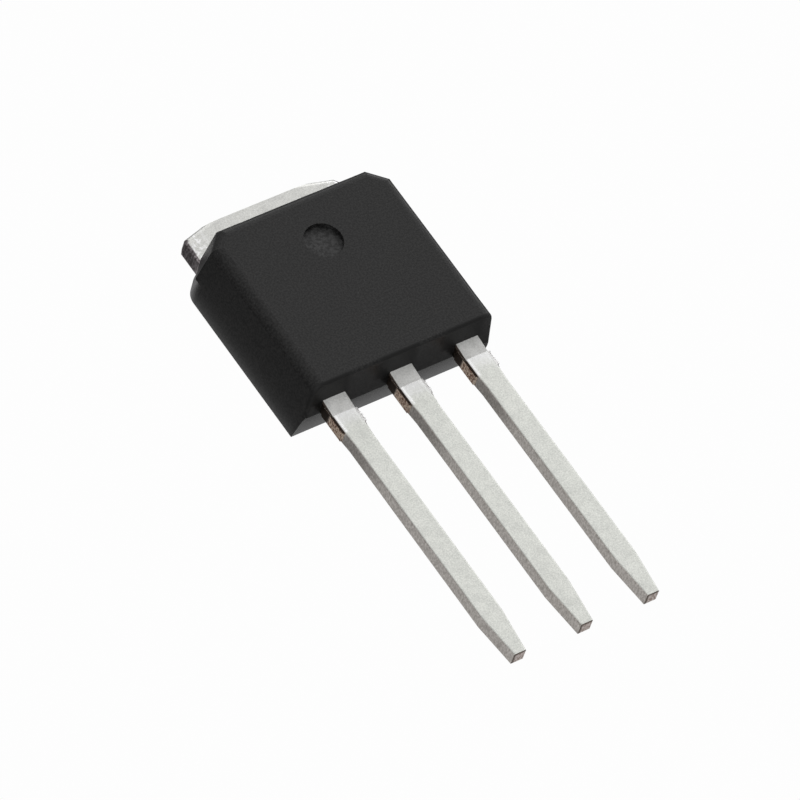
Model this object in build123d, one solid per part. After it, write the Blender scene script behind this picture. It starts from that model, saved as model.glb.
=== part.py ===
from build123d import *
import os
from math import radians, tan

# A three-lead power transistor in a flat moulded package with a heat-sink tab.
#
# The transistor lies on its back. +Z is the normal of the marked face, +Y runs towards
# the tab, and the three leads point to -Y: gate at -X, drain in the middle, source at +X.
# The origin is the centre of the moulded body's back face, which is also the plane that
# goes against a heat sink. All sizes are in millimetres, and all angles in degrees.

# ---- Moulded body -------------------------------------------------------------------
body_width = 6.59            # across the leads, at the back face
body_height = 6.11           # lead wall at the parting line to the tab wall at the back face
body_thickness = 2.28        # back face to marked face
side_draft = 6.0             # side walls, from the back face in to the marked face
tab_wall_draft = 4.4         # tab wall, from the back face in to the marked face
front_corner_cut = 0.56      # 45 degree cut on the two tab corners, at the marked face
step_corner_cut = 0.52       # the same cut, at a small step down in those corners
corner_step_height = 0.75    # back face to that step
back_corner_cut = 0.62       # the same cut below the step
back_corner_radius = 0.60    # round on the upright edges of that lower cut
face_radius = 0.33           # round on the marked face's edge, all but the lead side
parting_height = 1.00        # back face to the parting line, where the leads come out
lead_wall_draft = 5.0        # lead wall, from the parting line in to the marked face
parting_step = 0.02          # how far the lead wall stands in below the parting line
lead_wall_back_draft = 8.3   # lead wall, from the parting line in to the back face
lead_wall_radius = 0.10      # round on the lead wall's upright and marked-face edges
ejector_mark_diameter = 1.17
ejector_mark_depth = 0.15
ejector_mark_y = 1.245       # body's centre to the mark's centre, towards the tab

# ---- Heat spreader and tab ----------------------------------------------------------
spreader_thickness = 0.51
tab_width = 5.36
tab_reach = 1.045            # how far the tab stands out past the tab wall
tab_cut_across = 0.77        # the tab's end corners are cut on a flat slope, this far
tab_cut_along = 0.20         # across the tab and this far along it
tab_nick = 0.12              # and cut once more, where that slope meets the tab's side
tab_edge_radius = 0.15       # round that the punch leaves on the tab's sides and cuts
tab_land = 0.25              # tab wall to the start of that round: the mould clamps here
spreader_foot_gap = 1.40     # lead wall to the near end of the spreader
lock_step_width = 0.28       # a step round the bared face, which the moulding fills to
lock_step_depth = 0.16       # hold the spreader in
lock_step_end = 0.30         # tab wall to the end of the step
lock_groove_width = 0.30     # a V groove across the spreader, near the tab wall
lock_groove_depth = 0.12
lock_groove_inset = 0.45     # tab wall to the bottom of the groove

# ---- Leads --------------------------------------------------------------------------
lead_pitch = 2.28
lead_thickness = 0.45
lead_length = 9.37           # parting line to tip
lead_width = 0.705
lead_root_width = 0.765      # up to the cut where a tie once joined the leads
lead_root_length = 1.07
lead_shoulder_length = 0.42  # the root narrows to the lead over this length
lead_tip_width = 0.41
lead_taper_length = 1.41
lead_edge_radius = 0.05      # round that the punch leaves on the front edges
tie_stub_reach = 0.03        # how far the sheared tie stands out of the root's sides
tie_stub_thickness = 0.38
tie_stub_gap = 0.10          # lead wall to the near end of the sheared tie

# ---- Drain neck and bonding posts, inside the body ----------------------------------
neck_width = 1.10
neck_angle = 55.0            # slope of the jog from the spreader up to the lead
neck_land = 0.08             # flat from the jog's lower bend to the spreader's end
post_setback = 0.34          # lead wall to the posts and to the wide part of the neck
post_wall = 0.48             # side wall to a post
gate_post_gap = 0.95         # neck to the gate post
gate_post_length = 0.62
source_post_gap = 0.45       # neck to the source post
source_post_length = 0.72
post_notch_radius = 0.14     # lock notch in the outer end of a post

# ---- Chip and bond wires, inside the body -------------------------------------------
die_width = 2.90
die_length = 2.50
die_thickness = 0.23
die_offset = 0.35            # body's centre to the die's centre, towards the tab
solder_thickness = 0.04
solder_margin = 0.12         # how far the solder stands out round the die
gate_wire_diameter = 0.13
gate_wire_rise = 0.30        # top of the post to the crest of the loop
gate_bond_inset = 0.30       # edges of the die to the gate bond
source_wire_diameter = 0.30
source_wire_rise = 0.32
source_wire_spacing = 0.66
source_bond_x = 0.25         # die's centre to the inner source bond
source_bond_inset = 1.10     # near edge of the die to the source bonds
crest_share = 0.30           # the loop's crest, as a share of the wire's span
landing_run = 0.36           # the last, flatter stretch of a wire down to its post
landing_rise = 0.16
bond_length_ratio = 1.60     # a bond's foot, in wire diameters
bond_width_ratio = 1.30
bond_height_ratio = 0.60

# ---- Places that follow from the sizes ----------------------------------------------
lead_wall = -body_height / 2
tab_wall = body_height / 2
lead_top = parting_height + lead_thickness
solder_top = spreader_thickness + solder_thickness
die_top = solder_top + die_thickness
spreader_foot = lead_wall + spreader_foot_gap
post_low = lead_wall + post_setback


def plan(*corners, height=0.0):
    """A flat horizontal face with these corners."""
    return Pos(0, 0, height) * make_face(Polyline(*corners, close=True))


def rectangle_plan(low, high, height=0.0):
    """A flat horizontal rectangle between two opposite corners."""
    return plan(low, (high[0], low[1]), high, (low[0], high[1]), height=height)


# ---- Moulded body -------------------------------------------------------------------
def body_section(height, cut):
    """The body's outline at one height, with its two tab corners cut by cut."""
    half = body_width / 2 - height * tan(radians(side_draft))
    low = lead_wall + (height - parting_height) * tan(radians(lead_wall_draft))
    high = tab_wall - height * tan(radians(tab_wall_draft))
    return plan(
        (-half, low),
        (half, low),
        (half, high - cut),
        (half - cut, high),
        (cut - half, high),
        (-half, high - cut),
        height=height,
    )


def body_mass(low, high, low_cut, high_cut):
    """The moulding between two heights, with sharp edges."""
    return loft([body_section(low, low_cut), body_section(high, high_cut)], ruled=True)


def upright_edges(mass, height):
    """The edges that pass through one height, from the lead wall's to the tab's corners."""
    spans = [(edge, edge.bounding_box()) for edge in mass.edges()]
    crossing = [edge for edge, span in spans if span.min.Z < height < span.max.Z]
    return ShapeList(crossing).sort_by(Axis.Y)


def front_mass():
    """The moulding above the step in its corners, with its rounds."""
    mass = body_mass(corner_step_height, body_thickness, step_corner_cut, front_corner_cut)
    marked_face = mass.faces().sort_by(Axis.Z)[-1]
    mass = fillet(marked_face.edges().sort_by(Axis.Y)[1:], face_radius)
    wall = mass.faces().sort_by(Axis.Y)[0]
    return fillet(wall.edges().sort_by(Axis.Z)[1:], lead_wall_radius)


def back_mass():
    """The moulding below the step, before the lead wall is drawn in there."""
    mass = body_mass(0, corner_step_height, back_corner_cut, back_corner_cut)
    mass = fillet(upright_edges(mass, corner_step_height / 2)[2:], back_corner_radius)
    return fillet(upright_edges(mass, corner_step_height / 2)[:2], lead_wall_radius)


def lead_wall_relief():
    """What the lead wall stands in by, from the parting line to the back face."""
    outside = lead_wall - body_height
    top = lead_wall + parting_step
    foot = top + parting_height * tan(radians(lead_wall_back_draft))
    profile = Plane.YZ * make_face(
        Polyline((outside, parting_height), (top, parting_height), (foot, 0), (outside, 0), close=True)
    )
    return extrude(profile, body_width, both=True)


def mould_outside():
    """The moulding before anything is inside it."""
    mark = Cylinder(ejector_mark_diameter / 2, 2 * ejector_mark_depth)
    mass = front_mass() + back_mass() - lead_wall_relief()
    return mass - Pos(0, ejector_mark_y, body_thickness) * mark


# ---- Leads --------------------------------------------------------------------------
def lead_strip(x, inner_end):
    """One lead from inner_end, inside the body, to the tip. Its back is at the parting line."""
    tip = lead_wall - lead_length
    root_end = lead_wall - lead_root_length
    right = [
        (x + lead_root_width / 2, inner_end),
        (x + lead_root_width / 2, root_end),
        (x + lead_width / 2, root_end - lead_shoulder_length),
        (x + lead_width / 2, tip + lead_taper_length),
        (x + lead_tip_width / 2, tip),
    ]
    left = [(2 * x - across, along) for across, along in reversed(right)]
    strip = extrude(plan(*right, *left, height=parting_height), lead_thickness)
    front_edges = strip.faces().sort_by(Axis.Z)[-1].edges().sort_by(Axis.Y)
    return fillet(front_edges[1:-1], lead_edge_radius) + tie_stubs(x)


def tie_stubs(x):
    """The sheared tie, just proud of both sides of a lead's root and thinner than it."""
    half = lead_root_width / 2 + tie_stub_reach
    low = (x - half, lead_wall - lead_root_length)
    high = (x + half, lead_wall - tie_stub_gap)
    return extrude(rectangle_plan(low, high, height=parting_height), tie_stub_thickness)


def post(side, gap, length):
    """The bonding post of the gate (side -1) or the source (side 1)."""
    inner = side * (neck_width / 2 + gap)
    outer = side * (body_width / 2 - post_wall)
    plate = rectangle_plan((inner, post_low), (outer, post_low + length), height=parting_height)
    notch = Pos(outer, post_low + length / 2, lead_top) * Cylinder(post_notch_radius, 2 * lead_thickness)
    return extrude(plate, lead_thickness) - notch


def outer_lead(side, gap, length):
    """The gate or source lead with its post."""
    return lead_strip(side * lead_pitch, post_low + length) + post(side, gap, length)


# ---- Drain: heat spreader, tab, neck and middle lead, one stamped piece ---------------
def spreader():
    """The heat spreader with its tab, lock step and lock groove."""
    half = tab_width / 2
    outline = rectangle_plan((-half, spreader_foot), (half, tab_wall + tab_land))
    step_end = tab_wall - lock_step_end
    pad_half = half - lock_step_width
    rim = rectangle_plan((-half, spreader_foot), (half, step_end))
    pad = rectangle_plan((-pad_half, spreader_foot + lock_step_width), (pad_half, step_end))
    plate = extrude(outline, spreader_thickness) - extrude(rim - pad, lock_step_depth)
    return plate - lock_groove() + tab()


def tab():
    """The tab beyond the land where the mould clamps it, with its edges as punched."""
    half = tab_width / 2
    end = tab_wall + tab_reach
    outline = plan(
        (-half, tab_wall + tab_land),
        (half, tab_wall + tab_land),
        (half, end - tab_cut_along),
        (half - tab_cut_across, end),
        (tab_cut_across - half, end),
        (-half, end - tab_cut_along),
    )
    plate = extrude(outline, spreader_thickness)
    plate = chamfer(plate.edges().filter_by(Axis.Z).sort_by(Axis.Y)[2:4], tab_nick)
    top_edges = plate.faces().sort_by(Axis.Z)[-1].edges()
    return fillet(top_edges.filter_by(Axis.X, reverse=True), tab_edge_radius)


def lock_groove():
    """A V groove right across the top of the spreader."""
    middle = tab_wall - lock_groove_inset
    bottom = spreader_thickness - lock_groove_depth
    profile = Plane.YZ * make_face(
        Polyline(
            (middle - lock_groove_width / 2, spreader_thickness),
            (middle, bottom),
            (middle + lock_groove_width / 2, spreader_thickness),
            close=True,
        )
    )
    return extrude(profile, tab_width / 2, both=True)


def drain_neck():
    """The jog that lifts the middle lead from the spreader to the parting line."""
    slope = tan(radians(neck_angle))
    bend = lead_thickness * tan(radians(neck_angle) / 2)
    low_bend = spreader_foot - neck_land
    high_bend = low_bend - (lead_top - spreader_thickness) / slope
    under_bend = high_bend - bend
    under_end = under_bend + (parting_height - lock_step_depth) / slope
    profile = Plane.YZ * make_face(
        Polyline(
            (post_low, lead_top),
            (high_bend, lead_top),
            (low_bend, spreader_thickness),
            (spreader_foot, spreader_thickness),
            (spreader_foot, lock_step_depth),
            (under_end, lock_step_depth),
            (under_bend, parting_height),
            (post_low, parting_height),
            close=True,
        )
    )
    return extrude(profile, neck_width / 2, both=True)


def drain():
    """The whole drain piece."""
    return spreader() + drain_neck() + lead_strip(0, post_low)


# ---- Chip and solder ----------------------------------------------------------------
def chip_layer(margin, bottom, thickness):
    """A flat block centred on the die's place, wider than the die by margin on each side."""
    block = Box(die_width + 2 * margin, die_length + 2 * margin, thickness)
    return Pos(0, die_offset, bottom + thickness / 2) * block


# ---- Bond wires ---------------------------------------------------------------------
def bond_foot(diameter):
    """The flattened end of a wire, welded to the surface below it."""
    height = bond_height_ratio * diameter
    foot = Box(bond_length_ratio * diameter, bond_width_ratio * diameter, height)
    return Pos(0, 0, height / 2) * foot


def bond_wire(start, end, diameter, rise):
    """A round wire from a bond on the die to a bond on a post, looping over."""
    line = Vector(*end) - Vector(*start)
    span = line.length
    first = (0, 0, die_top + diameter / 2)
    crest = (crest_share * span, 0, lead_top + rise)
    last = (span, 0, lead_top + diameter / 2)
    landing = (span - landing_run, 0, last[2] + landing_rise)
    route = [Vector(*point) for point in (first, crest, landing, last)]
    radii = [arc_radius(*route[corner - 1:corner + 2]) for corner in (1, 2)]
    path = FilletPolyline(*route, radius=radii)
    section = Plane(origin=first, z_dir=route[1] - route[0]) * Circle(diameter / 2)
    wire = sweep(section, path=path)
    wire += Pos(0, 0, die_top) * bond_foot(diameter)
    wire += Pos(span, 0, lead_top) * bond_foot(diameter)
    turn = Vector(1, 0, 0).get_signed_angle(line, Vector(0, 0, 1))
    return Pos(start[0], start[1], 0) * Rot(0, 0, turn) * wire


def arc_radius(before, corner, after):
    """The radius of a smooth arc at a corner of a wire's route."""
    arriving = corner - before
    leaving = after - corner
    shorter = min(arriving.length, leaving.length)
    return 0.45 * shorter / tan(radians(arriving.get_angle(leaving)) / 2)


def gate_wire():
    """The thin wire from the die's gate corner to the gate post."""
    start = (gate_bond_inset - die_width / 2, die_offset - die_length / 2 + gate_bond_inset)
    post_middle = (neck_width / 2 + gate_post_gap + body_width / 2 - post_wall) / 2
    end = (-post_middle, post_low + gate_post_length / 2)
    return bond_wire(start, end, gate_wire_diameter, gate_wire_rise)


def source_wire(place):
    """A thick wire from the die to the source post: the inner one (-1) or the outer (1)."""
    start = (
        source_bond_x + source_wire_spacing * (place + 1) / 2,
        die_offset - die_length / 2 + source_bond_inset,
    )
    post_middle = (neck_width / 2 + source_post_gap + body_width / 2 - post_wall) / 2
    end = (post_middle + place * source_wire_spacing / 2, post_low + source_post_length / 2)
    return bond_wire(start, end, source_wire_diameter, source_wire_rise)


# ---- The transistor -----------------------------------------------------------------
pieces = {
    "drain_leadframe": drain(),
    "gate_lead": outer_lead(-1, gate_post_gap, gate_post_length),
    "source_lead": outer_lead(1, source_post_gap, source_post_length),
    "die_solder": chip_layer(solder_margin, spreader_thickness, solder_thickness),
    "silicon_die": chip_layer(0, solder_top, die_thickness),
    "gate_wire": gate_wire(),
    "source_wire_inner": source_wire(-1),
    "source_wire_outer": source_wire(1),
}

# The compound flows round everything else, so the body is what the other pieces leave.
body = mould_outside()
for piece in pieces.values():
    body -= piece
pieces["mould_body"] = body

os.makedirs("parts", exist_ok=True)
for name, piece in pieces.items():
    export_step(piece, f"parts/{name}.step")
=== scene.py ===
# %% [markdown]
# # A power transistor, dressed for the studio
#
# This lesson takes the finished construction of a three-lead power transistor and gives
# it the surfaces of the real one: a matt black epoxy moulding, tin-plated copper leads
# with bare copper where a tie bar was sheared off, and the small things that stamping
# and moulding leave behind. The construction is loaded as a fixed frame. Nothing in it
# is moved or resized, and every place used below is measured from it.

import math
import random
from types import SimpleNamespace

import bmesh
import bpy
from mathutils import Matrix, Vector


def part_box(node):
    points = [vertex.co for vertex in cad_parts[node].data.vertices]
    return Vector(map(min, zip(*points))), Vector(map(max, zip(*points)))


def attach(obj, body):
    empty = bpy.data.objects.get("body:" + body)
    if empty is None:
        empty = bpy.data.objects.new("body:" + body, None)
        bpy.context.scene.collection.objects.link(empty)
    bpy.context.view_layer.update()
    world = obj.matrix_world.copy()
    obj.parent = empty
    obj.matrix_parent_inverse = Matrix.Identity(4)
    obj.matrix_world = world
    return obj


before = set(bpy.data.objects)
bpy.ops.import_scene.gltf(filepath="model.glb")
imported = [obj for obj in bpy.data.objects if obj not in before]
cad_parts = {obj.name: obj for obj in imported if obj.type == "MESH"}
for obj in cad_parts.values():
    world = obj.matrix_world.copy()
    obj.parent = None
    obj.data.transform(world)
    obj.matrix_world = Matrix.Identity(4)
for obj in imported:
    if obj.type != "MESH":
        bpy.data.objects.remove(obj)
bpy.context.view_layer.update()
MM = 0.001
print("nodes:", ", ".join(sorted(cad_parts)))

# %% [markdown]
# ## Places measured from the frame
#
# The part lies on its back. +Z is the normal of the marked face, +Y runs towards the
# tab, and the leads point to -Y. A few levels and walls are all that the finishes need:
# where the leads start, where they end, and how high they lie.

# %% Walls and levels
body_low, body_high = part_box("mould_body")
drain_low, drain_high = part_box("drain_leadframe")
face_level = body_high.z
lead_wall, tab_wall = body_low.y, body_high.y
lead_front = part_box("gate_lead")[1].z
lead_tip = drain_low.y
tab_half = drain_high.x
print(f"walls at y {lead_wall / MM:.3f} and {tab_wall / MM:.3f} mm")
print(f"lead fronts at z {lead_front / MM:.3f} mm, marked face at z {face_level / MM:.3f} mm")

# %% The middle of each lead
LEAD_NODES = ("gate_lead", "drain_leadframe", "source_lead")
TIP_SLICE = 0.1 * MM


def points_of(node):
    """Every vertex of a CAD node, in metres."""
    return [vertex.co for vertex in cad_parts[node].data.vertices]


def lead_centre(node):
    """The middle of a lead across its width, taken at its tip."""
    tip = [point.x for point in points_of(node) if point.y < lead_tip + TIP_SLICE]
    return (min(tip) + max(tip)) / 2


centres = {node: lead_centre(node) for node in LEAD_NODES}
print(f"lead centres {[round(centre / MM, 2) for centre in centres.values()]} mm")

# %% The wide root of a lead
CLEAR_OF_WALL = 0.05 * MM
SAME_PLACE = 0.002 * MM
FRONT_BAND = 0.06 * MM

outside = [point for point in points_of("gate_lead") if point.y < lead_wall - CLEAR_OF_WALL]
reaches = [abs(point.x - centres["gate_lead"]) for point in outside]
root_half = max(reaches)
root_end = min(point.y for point, reach in zip(outside, reaches) if abs(reach - root_half) < SAME_PLACE)
plain_half = max(reach for point, reach in zip(outside, reaches) if point.z > lead_front - FRONT_BAND)
print(f"wide root: half width {root_half / MM:.4f} mm, {plain_half / MM:.4f} mm in front")
print(f"wide root: ends at y {root_end / MM:.3f} mm")

# %% [markdown]
# ## Writing shader maths as Python
#
# A material is a graph of nodes. Wiring it by hand is slow to write and slower to read,
# so one small class wraps a socket: `+`, `-`, `*`, `**` and `abs` on it add Math nodes,
# and its `node` method makes any other node from its type, its settings and its inlets.
# A Mix node has a set of sockets for each kind of data, and the colour ones have the
# numbers that are named first.

# %% The Wire class
MIX_FACTOR, MIX_FIRST, MIX_SECOND, MIX_RESULT = 0, 6, 7, 2


class Wire:
    """A shader socket that can stand in Python arithmetic."""

    def __init__(self, tree, socket=None):
        self.tree = tree
        self.socket = socket

    def node(self, kind, inlets=None, settings=None, outlet=0):
        """Add a node: settings first, then the values or links of its inlets."""
        made = self.tree.nodes.new("ShaderNode" + kind)
        for name, value in (settings or {}).items():
            setattr(made, name, value)
        for name, value in (inlets or {}).items():
            if isinstance(value, Wire):
                self.tree.links.new(value.socket, made.inputs[name])
            else:
                made.inputs[name].default_value = value
        return Wire(self.tree, made.outputs[outlet] if made.outputs else None)

    def maths(self, operation, first, second=0.0):
        """A Math node on two values, either of which may be a plain number."""
        return self.node("Math", {0: first, 1: second}, {"operation": operation})

    def __add__(self, other):
        return self.maths("ADD", self, other)

    __radd__ = __add__

    def __sub__(self, other):
        return self.maths("SUBTRACT", self, other)

    def __rsub__(self, other):
        return self.maths("SUBTRACT", other, self)

    def __mul__(self, other):
        return self.maths("MULTIPLY", self, other)

    __rmul__ = __mul__

    def __abs__(self):
        return self.maths("ABSOLUTE", self)

    def __pow__(self, other):
        return self.maths("POWER", self, other)

    def least(self, other):
        """The smaller of two values."""
        return self.maths("MINIMUM", self, other)

    def most(self, other):
        """The larger of two values, which for masks means one or the other."""
        return self.maths("MAXIMUM", self, other)

    def rise(self, low, high):
        """0 below low, 1 above high, and a smooth climb between. High may be below low."""
        return self.node(
            "MapRange",
            {"Value": self, "From Min": low, "From Max": high},
            {"interpolation_type": "SMOOTHSTEP"},
        )

    def tint(self, colour_at_0, colour_at_1):
        """Use this value to mix two colours."""
        inlets = {MIX_FACTOR: self, MIX_FIRST: colour_at_0, MIX_SECOND: colour_at_1}
        return self.node("Mix", inlets, {"data_type": "RGBA", "clamp_factor": True}, outlet=MIX_RESULT)


print("Wire is ready")


# %% Materials and greys
def new_material(name):
    """An empty node material and a Wire to build on."""
    material = bpy.data.materials.new(name)
    material.use_nodes = True
    tree = material.node_tree
    tree.nodes.clear()
    return material, Wire(tree)


def finish_material(start, surface):
    """Join a surface shader to the material's output."""
    start.node("OutputMaterial", {"Surface": surface})


def grey(value, warm=0.0):
    """A grey, made a little warmer by a positive second number."""
    return (value * (1 + warm), value, value * (1 - warm), 1)


print("a warm mid grey is", grey(0.5, 0.1))

# %% [markdown]
# ## Grain that is measured in millimetres
#
# The transistor is 16 mm long, so a grain is given as a size on the object. Object
# coordinates are in metres here, and a noise texture's scale is one over that size.

# %% Noise helpers
def object_place(start):
    """The point that is being shaded, in metres, in the object's own frame."""
    return start.node("TexCoord", outlet="Object")


def noise(place, size, detail=2.0, roughness=0.5):
    """Cloudy noise whose blobs are about size metres across, from 0 to 1."""
    inlets = {"Vector": place, "Scale": 1 / size, "Detail": detail, "Roughness": roughness}
    return place.node("TexNoise", inlets)


def stretched(place, stretch):
    """The place squeezed along each axis, which draws a texture out along it."""
    return place.node("VectorMath", {0: place, 1: stretch}, {"operation": "MULTIPLY"})


def split(vector):
    """The three numbers of a vector."""
    return [vector.node("SeparateXYZ", {0: vector}, outlet=axis) for axis in range(3)]


def bumped(start, height, distance):
    """A normal tilted by a height that spans distance metres."""
    return start.node("Bump", {"Height": height, "Strength": 1.0, "Distance": distance})


print("noise sizes are given in metres: a grain of 0.06 mm is", 0.06 * MM)

# %% [markdown]
# Raw noise stays close to a half. A step says which stretch of it becomes 0 to 1: a wide
# step keeps the clouds soft, and a narrow one turns them into patches with an edge.

# %% Steps that several finishes share
WIDE_STEP, SOFT_STEP, FIRM_STEP = (0.25, 0.75), (0.3, 0.7), (0.35, 0.65)
print("steps from soft to firm:", WIDE_STEP, SOFT_STEP, FIRM_STEP)

# %% [markdown]
# ## The moulding compound
#
# The body is silica-filled epoxy, pressed against a spark-eroded steel mould. It is
# almost black, matt, and has a very fine grain that breaks up reflections. Seen at a
# slant it gets a sheen, as most matt things do, so its roughness depends on the angle of
# view. The wall over each lead, and a little to its left, has less of that sheen, and it
# is painted darker as painted shade: the lead shades it and it reflects the lead's dark
# side. The round mark in the marked face is the print of a polished ejector pin, so its
# floor is smoother than the face round it. Its floor is also painted paler, unevenly: a
# painted reflection of the smoother floor, and painted light against the shade in the
# recess.
#
# The grain could be an image, but then every wall would have to be unwrapped. Noise in
# object coordinates has the same size on every wall and needs no unwrapping.

# %% Find the ejector mark
MARK_REACH = 1.5 * MM
MARK_SHALLOW, MARK_DEEP = 0.05 * MM, 0.20 * MM

mark_points = [
    point for point in points_of("mould_body")
    if abs(point.x) < MARK_REACH and 0 < point.y < tab_wall - MM
    and face_level - MARK_DEEP < point.z < face_level - MARK_SHALLOW
]
mark_left, mark_right = min(point.x for point in mark_points), max(point.x for point in mark_points)
mark_x = (mark_left + mark_right) / 2
mark_y = (min(point.y for point in mark_points) + max(point.y for point in mark_points)) / 2
mark_radius = (mark_right - mark_left) / 2
print(f"ejector mark at ({mark_x / MM:.3f}, {mark_y / MM:.3f}) mm, radius {mark_radius / MM:.3f} mm")

# %% Places on the moulding
MARK_RIM = 0.02
FACE_SKIN, FACE_FADE = 0.02 * MM, 0.05 * MM
SHADE_AND_DULL_INNER, SHADE_AND_DULL_OUTER = 0.50 * MM, 0.85 * MM
SHADE_AND_DULL_SHIFT = 0.20 * MM
SHADE_AND_DULL_DEPTH, SHADE_AND_DULL_FADE = 0.16 * MM, 0.10 * MM
SHADE_AND_DULL_LEVEL_FADE = 0.05 * MM


def ejector_mark_mask(x, y, z):
    """1 on the floor of the ejector mark."""
    off_x, off_y = abs(x - mark_x), abs(y - mark_y)
    across = x.maths("SQRT", off_x * off_x + off_y * off_y)
    below_face = z.rise(face_level - FACE_SKIN, face_level - FACE_SKIN - FACE_FADE)
    return across.rise(mark_radius * (1 + MARK_RIM), mark_radius * (1 - MARK_RIM)) * below_face


def shade_and_dull_over_lead_mask(x, y, z):
    """1 on the lead wall above each lead and a little to its left, where painted shade darkens it and its
    sheen is less.
    """
    first, *others = [abs(x - centre + SHADE_AND_DULL_SHIFT) for centre in centres.values()]
    off_lead = first
    for other in others:
        off_lead = off_lead.least(other)
    above = z.rise(lead_front - SHADE_AND_DULL_LEVEL_FADE, lead_front + SHADE_AND_DULL_LEVEL_FADE)
    on_wall = y.rise(lead_wall + SHADE_AND_DULL_DEPTH + SHADE_AND_DULL_FADE, lead_wall + SHADE_AND_DULL_DEPTH)
    return off_lead.rise(SHADE_AND_DULL_OUTER, SHADE_AND_DULL_INNER) * above * on_wall


print("two masks for the moulding:", ejector_mark_mask.__name__, "and", shade_and_dull_over_lead_mask.__name__)

# %% Moulding compound material
EPOXY_GRAIN, EPOXY_CLOUD, EPOXY_SPECK, PRINT_GRAIN = 0.06 * MM, 0.9 * MM, 0.05 * MM, 0.10 * MM
EPOXY_DARK, EPOXY_PALE, SILICA_SPECK = grey(0.0, 0.02), grey(0.017, 0.02), grey(0.07)
# painted light: the ejector mark's floor is paler than the epoxy round it
PRINT_AND_LIGHT_DARK, PRINT_AND_LIGHT_PALE = grey(0.004), grey(0.040)
# painted shade: darker epoxy for the wall over and left of each lead
WALL_SHADE_DARK, WALL_SHADE_PALE = grey(0.0), grey(0.003)
EPOXY_IOR = 1.45
EPOXY_BUMP = 0.0042 * MM
EPOXY_ROUGHNESS, GRAIN_ROUGHNESS, MARK_POLISH = 0.55, 0.12, 0.10
SHEEN, SHEEN_LOST_BY_LEAD, EDGE_HAZE = 0.36, 0.34, 0.13
SHEEN_ANGLE, HAZE_ANGLE = (0.38, 0.60), (0.74, 0.86)
GRAIN_STEP, SPECK_STEP, PRINT_STEP = (0.42, 0.58), (0.70, 0.78), (0.38, 0.64)


def moulding_compound():
    """Matt black filled epoxy, with painted shade over the leads and a smoother ejector-mark floor painted
    paler as painted light.
    """
    material, start = new_material("moulding_compound_matt")
    place = object_place(start)
    grain = noise(place, EPOXY_GRAIN, detail=3.0, roughness=0.7)
    cloud = noise(place, EPOXY_CLOUD)
    speck = noise(place, EPOXY_SPECK, detail=1.0).rise(*SPECK_STEP)
    print_tone = noise(place, PRINT_GRAIN, detail=4.0, roughness=0.7).rise(*PRINT_STEP)
    in_mark = ejector_mark_mask(*split(place))
    shade_and_dull_over_lead = shade_and_dull_over_lead_mask(*split(place))
    tone = grain.rise(*GRAIN_STEP) * 0.9 + cloud * 0.1
    colour = tone.tint(EPOXY_DARK, EPOXY_PALE)
    colour = (speck * 0.4).tint(colour, SILICA_SPECK)
    # painted light: the mark's floor is painted paler, as a painted reflection of its smoother floor and
    # against the shade in the recess
    colour = in_mark.tint(colour, print_tone.tint(PRINT_AND_LIGHT_DARK, PRINT_AND_LIGHT_PALE))
    # painted shade: the wall over and left of each lead is painted darker
    colour = shade_and_dull_over_lead.tint(colour, grain.tint(WALL_SHADE_DARK, WALL_SHADE_PALE))
    turned = start.node("LayerWeight", {"Blend": 0.5}, outlet="Facing")
    sheen = turned.rise(*SHEEN_ANGLE) * (SHEEN - shade_and_dull_over_lead * SHEEN_LOST_BY_LEAD)
    roughness = grain * GRAIN_ROUGHNESS + EPOXY_ROUGHNESS - in_mark * MARK_POLISH - sheen
    roughness = roughness + turned.rise(*HAZE_ANGLE) * EDGE_HAZE
    shader = start.node("BsdfPrincipled", {
        "Base Color": colour, "Roughness": roughness, "IOR": EPOXY_IOR,
        "Normal": bumped(start, grain, EPOXY_BUMP),
    })
    finish_material(start, shader)
    return material


epoxy = moulding_compound()
print("made", epoxy.name, "with", len(epoxy.node_tree.nodes), "nodes")

# %% [markdown]
# ## Tin-plated copper
#
# The leads are stamped from copper strip, tin-plated, and their tie bar is sheared off
# last. So the faces are pale tin with a fine crystalline grain, the stamped edges are
# greyer, and the sheared places show bare, torn copper: the sides of the wide root and
# the very tips. Next to the body a film of bled resin dulls the tin. The sides next to
# the wall are painted near black as painted shade, and just past the resin the tin is
# painted near white with white specks, as a painted highlight and painted glints.
#
# The copper could be faces with a material of their own, but its torn border follows no
# edge of the mesh. So each place is a mask between 0 and 1 instead, made from the
# position and the normal, and one material serves all three leads: it only has to know
# where the middle of its lead is. The masks come first, because the colours and the
# gloss both use them.

# %% Lengths along a lead
FILM_LENGTH = 0.50 * MM
FILM_ROUND = 0.035 * MM
BLEED_LENGTH = FILM_LENGTH - FILM_ROUND
BLEED_FADE = 0.01 * MM
# the length of the painted highlight past the resin
HIGHLIGHT_LENGTH = 0.6 * MM
TIE_LENGTH = 0.60 * MM
TIE_FADE, ROOT_FADE, TIP_FADE = 0.1 * MM, 0.08 * MM, 0.05 * MM
INSIDE_NEAR, INSIDE_FAR = 0.1 * MM, 0.3 * MM
print(f"resin {FILM_LENGTH / MM:.2f} mm from the wall, tie bar {TIE_LENGTH / MM:.2f} mm wide")

# %% Places on a lead
FLANK_NORMAL, FRONT_NORMAL, TIP_NORMAL = (0.55, 0.85), (0.5, 0.8), (0.6, 0.9)
EDGE_INNER, EDGE_OUTER = 0.16 * MM, 0.08 * MM
LEFT_FADE = 0.1 * MM
# how strongly the root's edges get the painted highlight and polish, on the left and everywhere
LEFT_BURNISH_HIGHLIGHT, ALL_BURNISH_HIGHLIGHT = 0.7, 0.3
# where the painted shade along the top of the sheared sides lies
CUT_SHADE_LOW, CUT_SHADE_HIGH, CUT_SHADE_SIDE = 0.06 * MM, 0.03 * MM, 0.09 * MM
CUT_SHADE_FADE = 0.005 * MM
TIP_RIM_HIGH, TIP_RIM_LOW = 0.06 * MM, 0.11 * MM
TIP_RIM_NEAR, TIP_RIM_FAR = 0.10 * MM, 0.16 * MM


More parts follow.
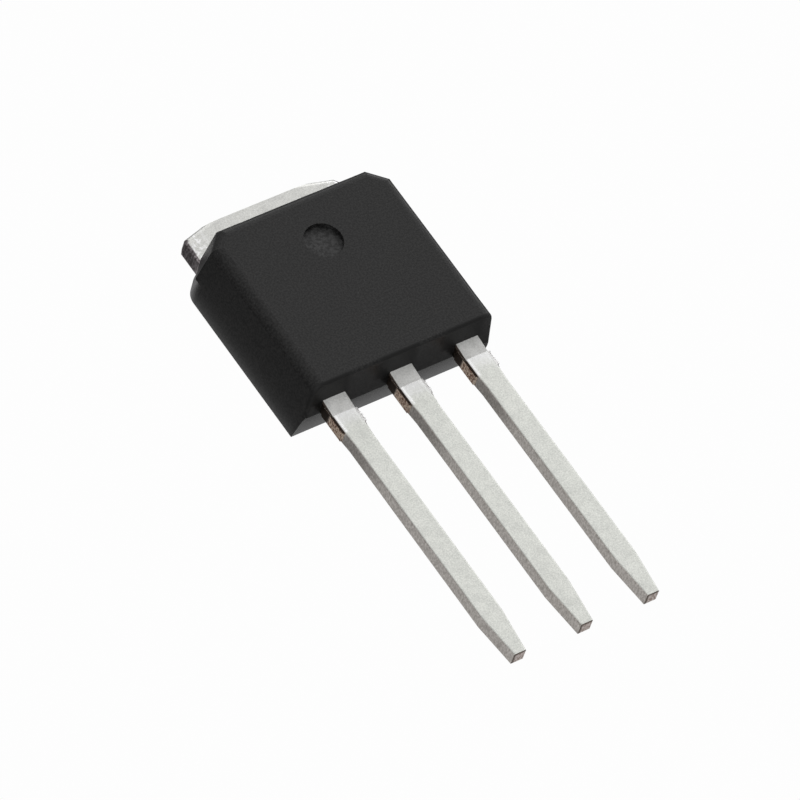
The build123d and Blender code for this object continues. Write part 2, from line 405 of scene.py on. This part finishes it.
def lead_masks(start, place, centre):
    """Where a lead is flank, front, tip or sheared, where resin covers it, and where painted shade and
    painted highlights go.
    """
    x, y, z = split(place)
    nx, ny, nz = split(start.node("TexCoord", outlet="Normal"))
    on = SimpleNamespace()
    on_lead = y.rise(lead_wall + INSIDE_FAR, lead_wall + INSIDE_NEAR)
    from_middle = abs(x - centre)
    before_root = y.rise(root_end - ROOT_FADE, root_end)
    tie_end = root_end + TIE_LENGTH
    tie_cut = before_root * y.rise(tie_end + TIE_FADE, tie_end)
    front = nz.rise(*FRONT_NORMAL)
    on_front = front * on_lead
    on.flank = abs(nx).rise(*FLANK_NORMAL)
    on.sheared = on.flank * tie_cut * on_lead
    # painted shade: the lead's sides next to the wall
    on.stained = on.flank * y.rise(tie_end, tie_end + TIE_FADE) * on_lead
    on.tip = (0 - ny).rise(*TIP_NORMAL) * y.rise(lead_tip + TIP_FADE, lead_tip)
    upper_rim = z.rise(lead_front - TIP_RIM_LOW, lead_front - TIP_RIM_HIGH)
    on.tip_rim = upper_rim.most((centre - x).rise(TIP_RIM_NEAR, TIP_RIM_FAR))
    at_edge = from_middle.rise(plain_half - EDGE_INNER, plain_half - EDGE_OUTER)
    left = x.rise(centre + LEFT_FADE, centre)
    # painted highlight along the edges of the wide root, stronger on the left; the same mask also polishes
    # them
    on.burnished = on_front * tie_cut * at_edge * (left * LEFT_BURNISH_HIGHLIGHT + ALL_BURNISH_HIGHLIGHT)
    below_front = z.rise(lead_front - CUT_SHADE_HIGH, lead_front - CUT_SHADE_LOW)
    past_side = front * from_middle.rise(plain_half, plain_half + CUT_SHADE_FADE) * below_front
    over_side = on.flank * z.rise(lead_front - CUT_SHADE_SIDE, lead_front - CUT_SHADE_LOW)
    # painted shade along the top of the sheared sides
    on.over_cut = past_side.most(over_side) * before_root * on_lead
    bleed_end = lead_wall - BLEED_LENGTH
    on.by_wall = on_front * y.rise(bleed_end - BLEED_FADE, bleed_end + BLEED_FADE)
    on.past_bleed = on_front * y.rise(bleed_end - HIGHLIGHT_LENGTH, bleed_end)
    return on


print("a lead's masks start", INSIDE_FAR / MM, "mm inside the body")

# %% Places on the tab
TAB_FADE = 0.1 * MM
# the band near the tab's sides where painted glints go
GLINT_BAND_INNER, GLINT_BAND_OUTER = 0.85 * MM, 0.35 * MM
TAB_RIM_INNER, TAB_RIM_OUTER = 0.095 * MM, 0.085 * MM
TAB_SIDE_NORMAL = (0.15, 0.40)


def tab_masks(start, place):
    """Where the tab is, where glints are painted near its sides, and its cut sides."""
    x, y = split(place)[:2]
    nx = split(start.node("TexCoord", outlet="Normal"))[0]
    on = SimpleNamespace()
    on.tab = y.rise(tab_wall - TAB_FADE, tab_wall)
    on.dented = abs(x).rise(tab_half - GLINT_BAND_INNER, tab_half - GLINT_BAND_OUTER)
    rim = abs(x).rise(tab_half - TAB_RIM_INNER, tab_half - TAB_RIM_OUTER)
    on.tab_side = abs(nx).rise(*TAB_SIDE_NORMAL).most(rim) * on.tab
    return on


print("the tab's masks start at y", round((tab_wall - TAB_FADE) / MM, 2), "mm")

# %% Grains of plating and of torn metal
CRYSTAL, CLOUD, ROLLED = 0.045 * MM, 0.35 * MM, 0.03 * MM
TORN, FLECK, GLINT_SPECK = 0.06 * MM, 0.09 * MM, 0.13 * MM
ROLLED_STRETCH, TORN_STRETCH, FLECK_STRETCH = (1.0, 0.12, 1.0), (1.0, 1.0, 0.5), (1.0, 0.5, 1.0)
FLECK_STEP, GLINT_SPECK_STEP = (0.52, 0.60), (0.50, 0.60)


def plating_grains(place):
    """The noises of plating, rolling and tearing, and the specks where glints are painted."""
    return SimpleNamespace(
        crystal=noise(place, CRYSTAL, detail=3.0, roughness=0.65),
        cloud=noise(place, CLOUD),
        rolled=noise(stretched(place, ROLLED_STRETCH), ROLLED),
        torn=noise(stretched(place, TORN_STRETCH), TORN, detail=3.0, roughness=0.7),
        glints=noise(stretched(place, FLECK_STRETCH), FLECK, detail=3.0).rise(*FLECK_STEP),
        glint_specks=noise(place, GLINT_SPECK, detail=3.0, roughness=0.6).rise(*GLINT_SPECK_STEP),
    )


print("tin crystals are", CRYSTAL / MM, "mm across")

# %% [markdown]
# ### The colours of the metal
#
# Metal has no colour of its own besides what it reflects, so a base colour here says how
# much light of each colour comes back. Each finish is a dark and a pale value, and a
# noise chooses between them. They are laid over each other in this order: plating with
# its painted highlights and glints, painted shade on the sides next to the wall,
# shearing, and last painted shade along the top of the sheared sides.

# %% Colours of tin and copper
TIN_DARK, TIN_PALE = (0.62, 0.63, 0.60, 1), (0.90, 0.91, 0.86, 1)
BLED_DARK, BLED_PALE = (0.70, 0.70, 0.68, 1), (0.96, 0.96, 0.94, 1)
# the last colour paints glints in specks near the tab's sides
TAB_DARK, TAB_PALE, TAB_GLINT = (0.58, 0.58, 0.56, 1), (0.84, 0.84, 0.81, 1), grey(0.95)
EDGE_DARK, EDGE_PALE = grey(0.46, 0.07), grey(0.90, 0.05)
# painted shade for the lead's sides next to the wall and for the resin film's sides
ROOT_SHADE_DARK, ROOT_SHADE_PALE = (0.02, 0.013, 0.009, 1), (0.13, 0.10, 0.08, 1)
TAB_SIDE_DARK, TAB_SIDE_PALE = (0.09, 0.08, 0.08, 1), (0.33, 0.30, 0.31, 1)
COPPER_DARK, COPPER_PALE = (0.30, 0.14, 0.09, 1), (1.0, 0.84, 0.70, 1)
TIP_DARK, TIP_PALE, TIP_BURR = (0.42, 0.31, 0.26, 1), (0.92, 0.84, 0.80, 1), (0.10, 0.07, 0.05, 1)
# painted shade along the top of the sheared sides
CUT_SHADE_DARK, CUT_SHADE_PALE = (0.03, 0.02, 0.015, 1), (0.12, 0.08, 0.06, 1)
# painted highlight and painted glints
HIGHLIGHT_TIN = grey(1.0)
HIGHLIGHT_STEP, COPPER_STEP, TIP_STEP = (0.40, 0.50), (0.38, 0.56), (0.35, 0.60)
HIGHLIGHT_SHARE, BURR_SHARE = 0.8, 0.85


def plated_colour(on, grains):
    """The tin of the faces: fronts, resin, the painted highlight and glints past the resin, and the tab
    with painted glints near its sides.
    """
    plating = (grains.crystal * 0.75 + grains.cloud * 0.25).rise(*WIDE_STEP)
    tin = plating.tint(TIN_DARK, TIN_PALE)
    # painted highlight: the tin just past the resin is painted near white
    tin = (on.past_bleed * HIGHLIGHT_SHARE).tint(tin, HIGHLIGHT_TIN)
    film = (grains.crystal * 0.6 + grains.cloud * 0.4).rise(*SOFT_STEP).tint(BLED_DARK, BLED_PALE)
    tin = on.by_wall.tint(tin, film)
    # painted glints as white specks past the resin, and the painted highlight along the root's edges
    glints = grains.glints * on.past_bleed
    shine = glints.most(on.burnished * grains.torn.rise(*HIGHLIGHT_STEP))
    tin = (shine * (1 - on.by_wall)).tint(tin, HIGHLIGHT_TIN)
    # painted glints: bright specks near the tab's sides
    tab_tin = (grains.glint_specks * on.dented).tint(plating.tint(TAB_DARK, TAB_PALE), TAB_GLINT)
    return on.tab.tint(tin, tab_tin)


def torn_colour(on, grains, plated):
    """The plated colour with its edges, copper, and painted shade by the wall and along the top of the cut
    laid over it.
    """
    torn = grains.torn
    colour = on.flank.tint(plated, torn.rise(*WIDE_STEP).tint(EDGE_DARK, EDGE_PALE))
    # painted shade: the sides next to the wall are painted near black
    colour = on.stained.tint(colour, torn.tint(ROOT_SHADE_DARK, ROOT_SHADE_PALE))
    colour = on.tab_side.tint(colour, torn.rise(*FIRM_STEP).tint(TAB_SIDE_DARK, TAB_SIDE_PALE))
    colour = on.sheared.tint(colour, torn.rise(*COPPER_STEP).tint(COPPER_DARK, COPPER_PALE))
    tip = torn.rise(*TIP_STEP).tint(TIP_DARK, TIP_PALE)
    colour = on.tip.tint(colour, (on.tip_rim * BURR_SHARE).tint(tip, TIP_BURR))
    # painted shade: the top of the sheared sides is painted dark
    return on.over_cut.tint(colour, torn.tint(CUT_SHADE_DARK, CUT_SHADE_PALE))


print("tin reflects", TIN_DARK[0], "to", TIN_PALE[0], "of red light, bare copper up to", COPPER_PALE[0])

# %% [markdown]
# ### The gloss of the metal
#
# Plated tin is neither a mirror nor matt: part of the light comes back sharp and part of
# it spread. One roughness value can't give both, so a polished and a matt shader of the
# same colour are mixed. Sheared and resin-covered places are nearly all matt, and
# burnished ones are more polished.

# %% Tinned copper material
POLISHED_ROUGHNESS, MATT_ROUGHNESS = 0.13, 0.60
MATT_SHARE, MATT_CRYSTAL, MATT_SHEARED, MATT_RESIN, POLISHED_RUB = 0.50, 0.2, 0.4, 0.45, 0.4
RESIN_COVER = 0.9
PLATING_BUMP = 0.0008 * MM


def tinned_copper(name, centre):
    """Tin plating with grey stamped edges and bare copper where it was sheared."""
    material, start = new_material(name)
    place = object_place(start)
    on = SimpleNamespace(**vars(lead_masks(start, place, centre)), **vars(tab_masks(start, place)))
    grains = plating_grains(place)
    colour = torn_colour(on, grains, plated_colour(on, grains))
    normal = bumped(start, grains.crystal * 0.7 + grains.rolled * 0.5, PLATING_BUMP)
    polished = start.node("BsdfPrincipled", {
        "Base Color": colour, "Metallic": 1.0, "Roughness": POLISHED_ROUGHNESS, "Normal": normal,
    })
    matt = start.node("BsdfPrincipled", {
        "Base Color": colour, "Metallic": 1 - on.by_wall * RESIN_COVER,
        "Roughness": MATT_ROUGHNESS, "Normal": normal,
    })
    matt_share = MATT_SHARE + grains.crystal * MATT_CRYSTAL + on.sheared * MATT_SHEARED
    matt_share = matt_share + on.by_wall * MATT_RESIN - on.burnished * POLISHED_RUB
    finish_material(start, start.node("MixShader", {0: matt_share, 1: polished, 2: matt}))
    return material


def dress(node, material):
    """Give a CAD node a material in all its slots."""
    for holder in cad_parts[node].material_slots:
        holder.material = material


dress("mould_body", epoxy)
for node, centre in centres.items():
    dress(node, tinned_copper(f"tinned_{node}", centre))
print("dressed the body and", len(centres), "leads")

# %% [markdown]
# ## The lip that the shear leaves
#
# The tie bar between the leads is cut through from the front, so a thin lip of metal is
# smeared over along the right of each wide root, and ends in a small step. It could be
# painted on, but the step shows against the floor, so it is a real shape: a long box is
# cut into short lengths, its outer side is moved in and out a little by a seeded random
# generator, and its upper edge is bevelled.

# %% Helpers for small pieces
def box_between(mesh, low, high):
    """A closed box between two corners. Returns its corner vertices."""
    corners = bmesh.ops.create_cube(mesh, size=1.0)["verts"]
    bmesh.ops.scale(mesh, vec=high - low, verts=corners)
    bmesh.ops.translate(mesh, vec=(low + high) / 2, verts=corners)
    return corners


def edges_among(mesh, vertices):
    """The edges that have both their ends among some vertices."""
    return [edge for edge in mesh.edges if all(vertex in vertices for vertex in edge.verts)]


def piece_from(mesh, name, material):
    """Turn a finished bmesh into an object that rides on the root body."""
    bmesh.ops.recalc_face_normals(mesh, faces=mesh.faces)
    data = bpy.data.meshes.new(name)
    mesh.to_mesh(data)
    mesh.free()
    data.materials.append(material)
    piece = bpy.data.objects.new(name, data)
    bpy.context.scene.collection.objects.link(piece)
    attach(piece, "root")
    return piece


# %% Sheared lip material
LIP_TIN_DARK, LIP_TIN_PALE = grey(0.80, 0.01), grey(0.98, 0.01)
# painted shade: the lip's torn outer side is painted near black
LIP_SIDE_SHADE_DARK, LIP_SIDE_SHADE_PALE = (0.03, 0.025, 0.02, 1), (0.20, 0.17, 0.13, 1)
LIP_SIDE_NORMAL = (0.10, 0.25)
LIP_ROUGHNESS, CRYSTAL_ROUGHNESS = 0.45, 0.2
LIP_BUMP = 0.0010 * MM


def lip_material():
    """Smeared tin on top, and a torn outer side painted near black as painted shade."""
    material, start = new_material("sheared_lip_finish")
    place = object_place(start)
    nx = split(start.node("TexCoord", outlet="Normal"))[0]
    crystal = noise(place, CRYSTAL, detail=3.0, roughness=0.65)
    torn = noise(place, TORN, detail=3.0, roughness=0.7)
    tin = crystal.rise(*SOFT_STEP).tint(LIP_TIN_DARK, LIP_TIN_PALE)
    side = torn.rise(*FIRM_STEP).tint(LIP_SIDE_SHADE_DARK, LIP_SIDE_SHADE_PALE)
    # painted shade on the lip's outer side
    shader = start.node("BsdfPrincipled", {
        "Base Color": nx.rise(*LIP_SIDE_NORMAL).tint(tin, side), "Metallic": 1.0,
        "Roughness": crystal * CRYSTAL_ROUGHNESS + LIP_ROUGHNESS,
        "Normal": bumped(start, torn, LIP_BUMP),
    })
    finish_material(start, shader)
    return material


lip_metal = lip_material()
print("made", lip_metal.name)

# %% Shear lips
LIP_WIDTH, LIP_DEPTH = 0.085 * MM, 0.11 * MM
LIP_REACH, LIP_RISE = 0.014 * MM, 0.002 * MM
LIP_ROUND, LIP_STEP, LIP_FADE = 0.030 * MM, 0.06 * MM, 0.03 * MM
LIP_CUTS, LIP_SEED = 17, 11
LIP_IN, LIP_OUT = -0.007, 0.003
LIP_SAME = 0.001 * MM


def tear(rim, lip_end, chance):
    """Move the rim's vertices in and out, in pairs, and draw its end in."""
    shifts = {}
    for vertex in rim:
        shifts.setdefault(round(vertex.co.y / MM, 3), chance.uniform(LIP_IN, LIP_OUT) * MM)
    for vertex in rim:
        vertex.co.x += shifts[round(vertex.co.y / MM, 3)]
        if vertex.co.y < lip_end + LIP_FADE:
            vertex.co.x -= LIP_REACH


def shear_lips():
    """One torn lip along the right of each wide root, from the film to the root's end."""
    chance = random.Random(LIP_SEED)
    mesh = bmesh.new()
    for centre in centres.values():
        outer = centre + root_half + LIP_REACH
        low = Vector((outer - LIP_WIDTH, root_end + LIP_STEP, lead_front - LIP_DEPTH))
        high = Vector((outer, lead_wall - FILM_LENGTH, lead_front + LIP_RISE))
        edges = edges_among(mesh, box_between(mesh, low, high))
        along = [edge for edge in edges if edge.calc_length() > high.y - low.y - LIP_SAME]
        bmesh.ops.subdivide_edges(mesh, edges=along, cuts=LIP_CUTS)
        rim = [vertex for vertex in mesh.verts if abs(vertex.co.x - outer) < LIP_SAME]
        tear(rim, low.y, chance)
        upper_rim = [vertex for vertex in rim if abs(vertex.co.z - high.z) < LIP_SAME]
        bmesh.ops.bevel(
            mesh, geom=edges_among(mesh, upper_rim), offset=LIP_ROUND, segments=2, profile=0.5,
            affect="EDGES", material=-1,
        )
    return piece_from(mesh, "shear_lips", lip_metal)


lips = shear_lips()
print("shear lips:", len(lips.data.polygons), "faces")

# %% [markdown]
# ## The film of resin on the roots
#
# In the mould a little resin creeps out over each lead, next to the body. Cleaning
# leaves a thin, dull, tin-coloured film, thickest at the wall. It lifts the surface by
# less than a tenth of a millimetre, but its slope changes what the lead reflects, so it
# is a real shape too: a box per lead, as wide as the front of the root, with its far end
# lowered and its upper edges bevelled. It starts inside the wall, so no gap shows.

# %% Resin film material
RESIN_DARK, RESIN_PALE = (0.62, 0.62, 0.60, 1), (0.90, 0.90, 0.88, 1)
RESIN_SIDE_NORMAL = (0.75, 0.95)
RESIN_METALLIC, RESIN_ROUGHNESS = 0.1, 0.45
RESIN_BUMP = 0.0012 * MM


def film_material():
    """Dull metal-grey film on top, and sides painted near black as painted shade."""
    material, start = new_material("resin_film_finish")
    place = object_place(start)
    nx = split(start.node("TexCoord", outlet="Normal"))[0]
    crystal = noise(place, CRYSTAL, detail=3.0, roughness=0.65)
    cloud = noise(place, CLOUD)
    film = (crystal * 0.6 + cloud * 0.4).rise(*SOFT_STEP).tint(RESIN_DARK, RESIN_PALE)
    # painted shade: the film's sides are painted near black
    stain = crystal.tint(ROOT_SHADE_DARK, ROOT_SHADE_PALE)
    shader = start.node("BsdfPrincipled", {
        "Base Color": abs(nx).rise(*RESIN_SIDE_NORMAL).tint(film, stain),
        "Metallic": RESIN_METALLIC,
        "Roughness": crystal * CRYSTAL_ROUGHNESS + RESIN_ROUGHNESS,
        "Normal": bumped(start, crystal, RESIN_BUMP),
    })
    finish_material(start, shader)
    return material


film_resin = film_material()
print("made", film_resin.name)

# %% Resin film
FILM_RISE, FILM_TOE = 0.085 * MM, 0.012 * MM
FILM_SINK, FILM_TAIL = 0.06 * MM, 0.085 * MM


def resin_film():
    """A thin film on the front of each root, from inside the wall to where it thins out."""
    mesh = bmesh.new()
    for centre in centres.values():
        low = Vector((centre - plain_half, lead_wall - FILM_LENGTH, lead_front - FILM_SINK))
        high = Vector((centre + plain_half, lead_wall + FILM_TAIL, lead_front + FILM_RISE))
        upper = [corner for corner in box_between(mesh, low, high) if corner.co.z > lead_front]
        for corner in upper:
            if corner.co.y < lead_wall - FILM_LENGTH / 2:
                corner.co.z = lead_front + FILM_TOE
        bmesh.ops.bevel(
            mesh, geom=edges_among(mesh, upper), offset=FILM_ROUND, segments=3, profile=0.5,
            affect="EDGES", material=-1,
        )
    return piece_from(mesh, "resin_film", film_resin)


film = resin_film()
print("resin film:", len(film.data.polygons), "faces")

# %% [markdown]
# ## Inside the moulding
#
# The chip, its solder and its bond wires are closed in, so no view shows them. One plain
# metal would do for a closed part, but a part is also taken apart, so each has its own
# finish. The chip has an aluminium top with a dark guard ring and an outlined gate pad,
# and saw marks down its silicon sides. The solder is satin grey with a feathery grain,
# and the wires are aluminium with long drawing lines.

# %% Places on the chip
die_low, die_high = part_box("silicon_die")
die_middle, die_half = (die_low + die_high) / 2, (die_high - die_low) / 2
foot_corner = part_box("gate_wire")[1]
FOOT_HALF_WIDTH, FOOT_HALF_LENGTH = 0.12 * MM, 0.15 * MM
PAD_HALF = 0.27 * MM
pad_x, pad_y = foot_corner.x - FOOT_HALF_WIDTH, foot_corner.y - FOOT_HALF_LENGTH
STREET = 0.070 * MM
RING_INSET, RING_HALF = 0.095 * MM, 0.012 * MM
PAD_LINE_HALF = 0.014 * MM
LINE_FADE, STREET_FADE = 0.004 * MM, 0.008 * MM


def chip_lines(x, y):
    """1 on the saw street, the guard ring and the outline of the gate pad."""
    inset = (die_half.x - abs(x - die_middle.x)).least(die_half.y - abs(y - die_middle.y))
    off_pad = abs(x - pad_x).most(abs(y - pad_y))
    street = inset.rise(STREET, STREET - STREET_FADE)
    ring = abs(inset - RING_INSET).rise(RING_HALF, RING_HALF - LINE_FADE)
    pad_line = abs(off_pad - PAD_HALF).rise(PAD_LINE_HALF, PAD_LINE_HALF - LINE_FADE)
    return ring.most(pad_line).most(street)


print("gate pad at", round(pad_x / MM, 2), round(pad_y / MM, 2), "mm")

# %% Chip material
CHIP_GRAIN, CHIP_STRIPE, SAW_LINE = 0.02 * MM, 0.015 * MM, 0.012 * MM
CHIP_METAL_DARK, CHIP_METAL_PALE = grey(0.70, 0.01), grey(0.88, 0.01)
CHIP_LINE_DARK, CHIP_LINE_PALE = (0.05, 0.06, 0.08, 1), (0.11, 0.12, 0.15, 1)
SILICON_DARK, SILICON_PALE = grey(0.10, -0.05), grey(0.32, -0.05)
STRIPE_STRETCH, SAW_STRETCH = (1.0, 0.02, 1.0), (0.15, 0.15, 1.0)
CHIP_TOP_NORMAL = (0.6, 0.9)
CHIP_ROUGHNESS, CHIP_GRAIN_ROUGHNESS = 0.25, 0.15
CHIP_BUMP = 0.0005 * MM


def chip_finish():
    """Aluminium metallisation on top, saw-cut silicon at the sides."""
    material, start = new_material("silicon_chip_finish")
    place = object_place(start)
    x, y = split(place)[:2]
    nz = split(start.node("TexCoord", outlet="Normal"))[2]
    crystal = noise(place, CHIP_GRAIN)
    stripes = noise(stretched(place, STRIPE_STRETCH), CHIP_STRIPE, detail=1.0)
    saw = noise(stretched(place, SAW_STRETCH), SAW_LINE)
    metal = (crystal * 0.5 + stripes * 0.5).tint(CHIP_METAL_DARK, CHIP_METAL_PALE)
    metal = chip_lines(x, y).tint(metal, crystal.tint(CHIP_LINE_DARK, CHIP_LINE_PALE))
    colour = nz.rise(*CHIP_TOP_NORMAL).tint(saw.tint(SILICON_DARK, SILICON_PALE), metal)
    shader = start.node("BsdfPrincipled", {
        "Base Color": colour, "Metallic": 1.0,
        "Roughness": crystal * CHIP_GRAIN_ROUGHNESS + CHIP_ROUGHNESS,
        "Normal": bumped(start, crystal * 0.5 + saw * 0.5, CHIP_BUMP),
    })
    finish_material(start, shader)
    return material


dress("silicon_die", chip_finish())
print("dressed the chip")

# %% Solder material
FEATHER, DULL_PATCH = 0.05 * MM, 0.4 * MM
SOLDER_DARK, SOLDER_PALE, SOLDER_DULL = grey(0.36, -0.02), grey(0.64, -0.02), grey(0.30, 0.03)
FEATHER_STRETCH, DULL_STEP = (1.0, 0.3, 1.0), (0.45, 0.60)
SOLDER_ROUGHNESS, FEATHER_ROUGHNESS, DULL_ROUGHNESS = 0.30, 0.2, 0.15
SOLDER_BUMP = 0.0020 * MM


def solder_finish():
    """Satin lead-tin solder with a feathery grain and a few dull patches."""
    material, start = new_material("die_solder_finish")
    place = object_place(start)
    feather = noise(stretched(place, FEATHER_STRETCH), FEATHER, detail=4.0, roughness=0.75)
    dull = noise(place, DULL_PATCH).rise(*DULL_STEP)
    colour = feather.rise(*SOFT_STEP).tint(SOLDER_DARK, SOLDER_PALE)
    shader = start.node("BsdfPrincipled", {
        "Base Color": (dull * 0.4).tint(colour, SOLDER_DULL), "Metallic": 1.0,
        "Roughness": feather * FEATHER_ROUGHNESS + dull * DULL_ROUGHNESS + SOLDER_ROUGHNESS,
        "Normal": bumped(start, feather, SOLDER_BUMP),
    })
    finish_material(start, shader)
    return material


dress("die_solder", solder_finish())
print("dressed the solder")

# %% Bond wire material
WIRE_NODES = ("gate_wire", "source_wire_inner", "source_wire_outer")
DRAWN_LINE, SCUFF = 0.012 * MM, 0.10 * MM
ALUMINIUM_DARK, ALUMINIUM_PALE, ALUMINIUM_SCUFF = grey(0.74, 0.01), grey(0.92, 0.01), grey(0.58)
DRAWN_STRETCH, SCUFF_STEP = (1.0, 0.08, 0.5), (0.58, 0.66)
WIRE_ROUGHNESS, DRAWN_ROUGHNESS, SCUFF_ROUGHNESS = 0.18, 0.12, 0.15
WIRE_BUMP = 0.0006 * MM


def wire_finish():
    """Drawn aluminium: long fine lines and small scuffs."""
    material, start = new_material("bond_wire_finish")
    place = object_place(start)
    lines = noise(stretched(place, DRAWN_STRETCH), DRAWN_LINE)
    scuff = noise(place, SCUFF).rise(*SCUFF_STEP)
    colour = lines.tint(ALUMINIUM_DARK, ALUMINIUM_PALE)
    shader = start.node("BsdfPrincipled", {
        "Base Color": (scuff * 0.5).tint(colour, ALUMINIUM_SCUFF), "Metallic": 1.0,
        "Roughness": lines * DRAWN_ROUGHNESS + scuff * SCUFF_ROUGHNESS + WIRE_ROUGHNESS,
        "Normal": bumped(start, lines, WIRE_BUMP),
    })
    finish_material(start, shader)
    return material


wire_metal = wire_finish()
for node in WIRE_NODES:
    dress(node, wire_metal)
print("dressed", len(WIRE_NODES), "bond wires")

# %% [markdown]
# ## Floor, light and camera
#
# The floor is a pale sheet that glows by itself, so that the camera sees it evenly white.
# To the part it is a dim sheet, brighter close to the edge of the body and out under the
# leads, which is what gives the lower halves of the walls and the leads' sides their
# tone. A Light Path node tells the two apart.
#
# The room has no lamps: it is one smooth gradient, brightest behind the part on its
# right, with a weaker broad patch on the side of the leads and a dim one over them. Such
# a room gives soft shading with no hard highlights, and costs little to compute.

# %% Glow of the floor
FLOOR_BASE, WHITE_LEVEL = 0.16, 0.985
NEAR_GLOW, NEAR_LOST_IN_FRONT, NEAR_LOST_AT_TAB = 0.90, 0.58, 0.50
IN_FRONT_GLOW, BESIDE_GLOW, BEHIND_GLOW = 0.02, 0.24, 0.04
NEAR_REACH, NEAR_POWER = 0.7 * MM, 5.0
FRONT_FADE = 0.5 * MM
BESIDE_START, BESIDE_FULL = 1.3 * MM, 2.6 * MM
BEHIND_START, BEHIND_FULL, BEHIND_SIDE = 0.6 * MM, 0.2 * MM, 0.6 * MM
AT_TAB_START, AT_TAB_FULL = 0.9 * MM, 0.2 * MM


def floor_glow(x, y):
    """How bright the floor is to the part."""
    off_x, off_y = (abs(x) - body_high.x).most(0.0), (abs(y) - tab_wall).most(0.0)
    away = x.maths("SQRT", off_x * off_x + off_y * off_y)
    near = away.rise(NEAR_REACH, 0.0) ** NEAR_POWER
    in_front = y.rise(lead_wall + FRONT_FADE, lead_wall)
    beside = y.rise(lead_wall - BESIDE_START, lead_wall - BESIDE_FULL)
    behind = y.rise(tab_wall - BEHIND_START, tab_wall + BEHIND_FULL)
    behind = behind * x.rise(body_low.x - BEHIND_SIDE, body_low.x)
    at_tab = y.rise(tab_wall - AT_TAB_START, tab_wall - AT_TAB_FULL)
    by_body = near * (NEAR_GLOW - in_front * NEAR_LOST_IN_FRONT - at_tab * NEAR_LOST_AT_TAB)
    return by_body + in_front * IN_FRONT_GLOW + beside * BESIDE_GLOW + behind * BEHIND_GLOW + FLOOR_BASE


print("the part sees a floor of at least", FLOOR_BASE)

# %% Floor
FLOOR_HALF = 1.2


def studio_floor():
    """A sheet that is white for the camera and a soft graded grey for the part."""
    material, start = new_material("studio_floor_sheet")
    x, y = split(object_place(start))[:2]
    seen = start.node("LightPath", outlet="Is Camera Ray")
    shade = start.node("Emission", {"Color": floor_glow(x, y).tint(grey(0.0), grey(1.0)), "Strength": 1.0})
    white = start.node("Emission", {"Color": grey(WHITE_LEVEL), "Strength": 1.0})
    finish_material(start, start.node("MixShader", {0: seen, 1: shade, 2: white}))
    mesh = bmesh.new()
    bmesh.ops.create_grid(mesh, x_segments=1, y_segments=1, size=FLOOR_HALF)
    data = bpy.data.meshes.new("studio_floor")
    mesh.to_mesh(data)
    mesh.free()
    data.materials.append(material)
    floor = bpy.data.objects.new("studio_floor", data)
    bpy.context.scene.collection.objects.link(floor)


studio_floor()
print("floor half side", FLOOR_HALF, "m")

# %% Light
BRIGHT_SIDE = Vector((0.75, 0.60, 0.30)).normalized()
FILL_SIDE = Vector((-0.55, -0.65, 0.52)).normalized()
DIM_SIDE = Vector((0.47, -0.53, 0.70)).normalized()
ROOM_BASE, ROOM_SLOPE, ROOM_CURVE, ROOM_LEAST = 0.32, 0.9, 0.3, 0.22
KEY_POWER, KEY_GLOW = 14.0, 1.2
FILL_POWER, FILL_GLOW = 3.0, 1.05
DIM_POWER, DIM_LOSS = 6.0, 0.38


def studio_air():
    """The room: a gradient towards its bright side for the part, and white behind it."""
    world = bpy.data.worlds.new("studio_air")
    world.use_nodes = True
    tree = world.node_tree
    tree.nodes.clear()
    start = Wire(tree)
    x, y, z = split(start.node("TexCoord", outlet="Generated"))

    def towards(side):
        """How far a direction of the room lies towards a side: 1 at the side, -1 opposite."""
        return x * side.x + y * side.y + z * side.z

    facing = towards(BRIGHT_SIDE)
    glow = (facing * ROOM_SLOPE - facing * facing * ROOM_CURVE + ROOM_BASE).most(ROOM_LEAST)
    key = facing.most(0.0) ** KEY_POWER
    fill = towards(FILL_SIDE).most(0.0) ** FILL_POWER
    dim = towards(DIM_SIDE).most(0.0) ** DIM_POWER
    glow = glow + key * KEY_GLOW + fill * FILL_GLOW - dim * DIM_LOSS
    seen = start.node("LightPath", outlet="Is Camera Ray")
    level = start.node("CombineXYZ", {0: glow, 1: glow, 2: glow})
    room = start.node("Background", {"Color": level, "Strength": 1.0})
    white = start.node("Background", {"Color": grey(1.0), "Strength": WHITE_LEVEL})
    start.node("OutputWorld", {"Surface": start.node("MixShader", {0: seen, 1: room, 2: white})})
    bpy.context.scene.world = world


studio_air()
bpy.context.scene.view_settings.view_transform = "Standard"
print("an even room, brighter towards", [round(value, 2) for value in BRIGHT_SIDE])

# %% Camera
CAMERA_AIM = Vector((-0.144, -3.502, 0.686)) * MM
CAMERA_DISTANCE = 237.9 * MM
CAMERA_AZIMUTH = math.radians(-49.84)
CAMERA_ELEVATION = math.radians(51.95)
CAMERA_ROLL = math.radians(19.98)
CAMERA_LENS, CAMERA_SENSOR = 383.4, 36.0
CAMERA_NEAR, CAMERA_FAR = 1.0 * MM, 10.0


def studio_camera():
    """A long lens that looks down on the part from the gate side."""
    data = bpy.data.cameras.new("studio_camera")
    data.sensor_width = CAMERA_SENSOR
    data.lens = CAMERA_LENS
    data.clip_start = CAMERA_NEAR
    data.clip_end = CAMERA_FAR
    camera = bpy.data.objects.new("studio_camera", data)
    level = math.cos(CAMERA_ELEVATION)
    back = Vector((
        level * math.sin(CAMERA_AZIMUTH),
        -level * math.cos(CAMERA_AZIMUTH),
        math.sin(CAMERA_ELEVATION),
    ))
    right = Vector((math.cos(CAMERA_AZIMUTH), math.sin(CAMERA_AZIMUTH), 0))
    turn = Matrix((right, back.cross(right), back)).transposed().to_4x4()
    place = Matrix.Translation(CAMERA_AIM + back * CAMERA_DISTANCE)
    camera.matrix_world = place @ turn @ Matrix.Rotation(CAMERA_ROLL, 4, "Z")
    bpy.context.scene.collection.objects.link(camera)
    bpy.context.scene.camera = camera
    return camera


camera = studio_camera()
print("camera at", [round(value / MM, 1) for value in camera.matrix_world.translation], "mm")

# %% The end of the scene
print("the scene is set up")
